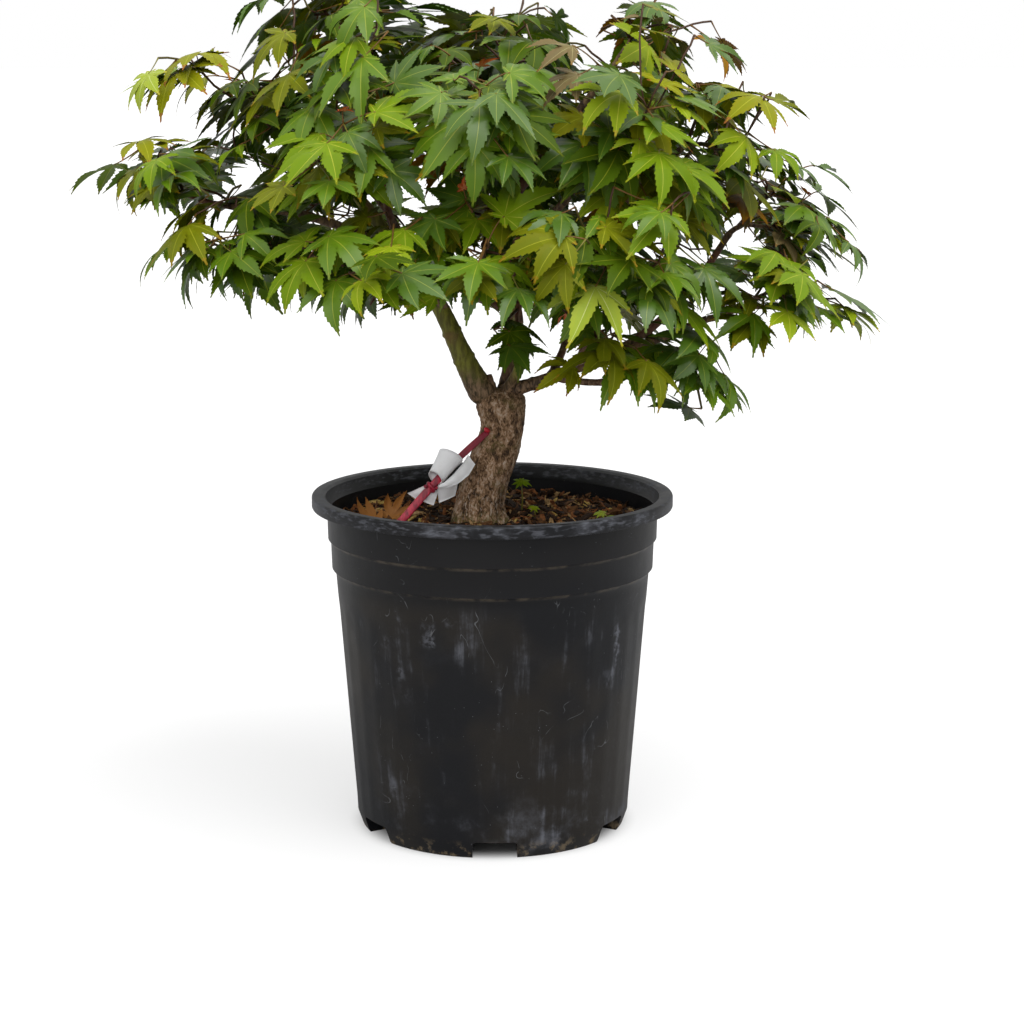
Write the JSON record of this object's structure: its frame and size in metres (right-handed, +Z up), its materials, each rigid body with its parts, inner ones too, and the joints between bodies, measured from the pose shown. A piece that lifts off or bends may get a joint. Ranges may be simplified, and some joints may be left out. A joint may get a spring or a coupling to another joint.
{
  "type": "potted japanese maple",
  "caption": "Young Japanese maple with a leaning trunk and a broad drooping crown of palmate leaves, in a round tapered nursery pot with a rolled rim.",
  "frame": {"origin": "middle of the pot's flat underside, on the pot's axis", "axes": "+Z up along the pot's axis; the trunk leans towards +X, and -Y is the side with the tag"},
  "size_m": [0.6761, 0.5062, 0.7024],
  "materials": {
    "foliage": "satin green leaf",
    "bark": "rough grey-brown bark",
    "pot": "dusty black moulded plastic",
    "soil": "moist bark mulch",
    "tie": "soft crimson tape",
    "tag": "thin white plastic sheet"
  },
  "bodies": {
    "root": {"back_branch": "bark", "back_high_branch": "bark", "back_high_leaves": "foliage", "back_leaves": "foliage", "back_left_branch": "bark", "back_left_leaves": "foliage", "back_left_low_branch": "bark", "back_left_low_leaves": "foliage", "back_right_branch": "bark", "back_right_leaves": "foliage", "back_right_low_branch": "bark", "back_right_low_leaves": "foliage", "front_high_branch": "bark", "front_high_leaves": "foliage", "front_left_high_branch": "bark", "front_left_high_leaves": "foliage", "front_left_low_branch": "bark", "front_left_low_leaves": "foliage", "front_low_branch": "bark", "front_low_leaves": "foliage", "front_middle_bough": "bark", "front_middle_leaves": "foliage", "front_right_branch": "bark", "front_right_high_branch": "bark", "front_right_high_leaves": "foliage", "front_right_leaves": "foliage", "front_right_low_branch": "bark", "front_right_low_leaves": "foliage", "label_tag": "tag", "left_far_branch": "bark", "left_far_leaves": "foliage", "left_high_bough": "bark", "left_high_leaves": "foliage", "left_low_branch": "bark", "left_low_leaves": "foliage", "pot": "pot", "right_far_bough": "bark", "right_far_leaves": "foliage", "right_high_branch": "bark", "right_high_leaves": "foliage", "right_low_branch": "bark", "right_low_leaves": "foliage", "right_mid_branch": "bark", "right_mid_leaves": "foliage", "soil": "soil", "tie_band": "tie", "top_bough": "bark", "top_leaves": "foliage", "top_left_branch": "bark", "top_left_leaves": "foliage", "top_right_branch": "bark", "top_right_leaves": "foliage", "trunk": "bark"}
  },
  "joints": []
}
